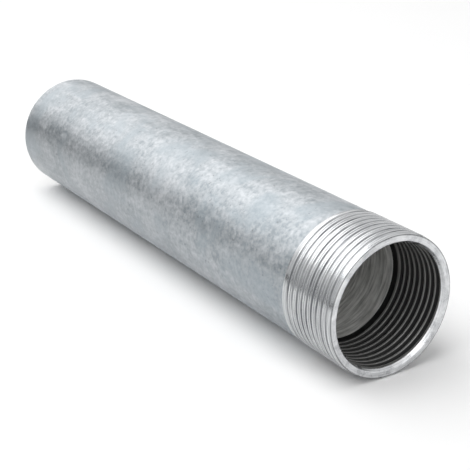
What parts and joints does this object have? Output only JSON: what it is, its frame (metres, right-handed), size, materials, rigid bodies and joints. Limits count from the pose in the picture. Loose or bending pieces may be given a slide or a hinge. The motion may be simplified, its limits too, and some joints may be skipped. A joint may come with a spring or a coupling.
{
  "type": "threaded steel conduit",
  "caption": "Straight round steel tube, plain at its foot, with an outside and an inside thread at its mouth, for carrying cables.",
  "frame": {"origin": "on the tube's axis, in the plane of the plain end that it stands on", "axes": "+Z along the tube's axis, from the plain end up to the threaded mouth"},
  "size_m": [0.0428, 0.0428, 0.2],
  "materials": {
    "galvanised_steel": "satin zinc coating on the tube, bright cut steel on the threads and the mouth"
  },
  "bodies": {
    "root": {"conduit": "galvanised_steel"}
  },
  "joints": []
}
